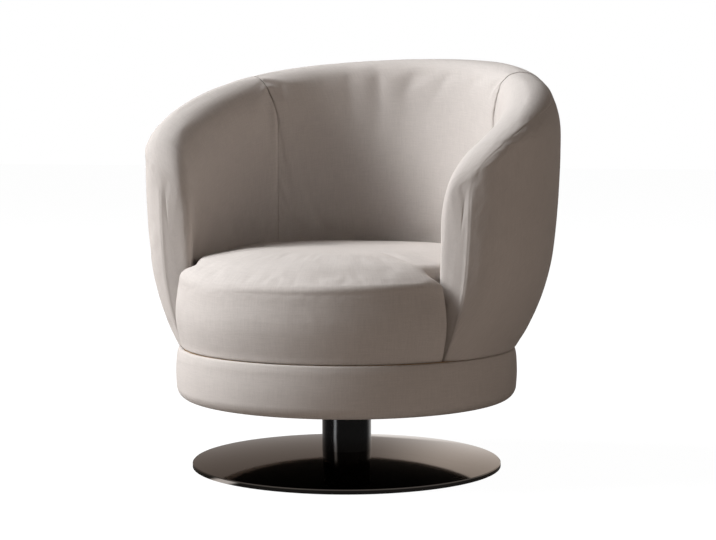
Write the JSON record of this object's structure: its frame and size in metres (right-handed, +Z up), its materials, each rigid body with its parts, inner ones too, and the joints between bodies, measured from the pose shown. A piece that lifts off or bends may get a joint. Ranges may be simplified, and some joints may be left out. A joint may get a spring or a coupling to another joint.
{
  "type": "swivel lounge chair",
  "caption": "Upholstered tub armchair with a rolled rim on a round padded plinth, which swivels on a column and a shallow domed disc base.",
  "frame": {"origin": "on the floor at the middle of the felt's underside, on the swivel axis", "axes": "+Z up along the swivel axis; the sitter faces -Y; the sitter's left arm is on +X"},
  "size_m": [0.784, 0.7306, 0.78],
  "materials": {
    "upholstery": "smooth matte greige upholstery cloth",
    "foam": "cream polyurethane foam",
    "plywood": "raw birch plywood",
    "webbing": "woven elastic webbing",
    "zinc_steel": "zinc plated",
    "bearing_steel": "ground and greased",
    "bearing_plastic": "natural acetal",
    "disc_metal": "polished black nickel",
    "column_black": "gloss black",
    "plate_black": "satin black",
    "felt": "dark pressed felt",
    "dust_cloth": "thin non-woven cloth"
  },
  "bodies": {
    "base": {"floor_felt": "felt", "base_disc": "disc_metal", "base_screws": "zinc_steel", "column_foot": "zinc_steel", "column_tube": "column_black", "bearing_housing": "zinc_steel", "lower_bush": "bearing_plastic", "upper_bush": "bearing_plastic", "lower_race": "bearing_steel"},
    "bearing_cage": {"ball_cage": "bearing_plastic", "bearing_balls": "bearing_steel"},
    "chair": {"arm_pad_left": "foam", "arm_pad_right": "foam", "back_pad": "foam", "dust_cover": "dust_cloth", "inside_arm_cover_left": "upholstery", "inside_arm_cover_right": "upholstery", "inside_back_cover": "upholstery", "outside_arm_cover_left": "upholstery", "outside_arm_cover_right": "upholstery", "outside_back_cover": "upholstery", "plate_bolts": "zinc_steel", "plate_washers": "zinc_steel", "plinth_cover": "upholstery", "plinth_lower_board": "plywood", "plinth_pad": "foam", "plinth_ring": "plywood", "plinth_upper_board": "plywood", "retainer_washer": "zinc_steel", "retaining_clip": "zinc_steel", "seat_cover": "upholstery", "seat_foam": "foam", "seat_ring": "plywood", "spindle": "zinc_steel", "swivel_plate": "plate_black", "tee_nuts": "zinc_steel", "tub_bottom_rail": "plywood", "tub_screws": "zinc_steel", "tub_top_rail": "plywood", "upper_race": "bearing_steel", "upright_back": "plywood", "upright_left_1": "plywood", "upright_left_2": "plywood", "upright_left_3": "plywood", "upright_right_1": "plywood", "upright_right_2": "plywood", "upright_right_3": "plywood", "webbing_crosswise": "webbing", "webbing_lengthwise": "webbing"}
  },
  "joints": [
    {"name": "seat_swivel", "type": "hinge", "parent": "base", "child": "chair", "pos_m": [0, 0, 0.2], "axis": [0, 0, 1], "continuous": true},
    {"name": "cage_turn", "type": "hinge", "parent": "base", "child": "bearing_cage", "pos_m": [0, 0, 0.2], "axis": [0, 0, 1], "continuous": true}
  ],
  "couplings": [
    {"joint": "cage_turn", "follows": "seat_swivel", "ratio": 0.5}
  ]
}
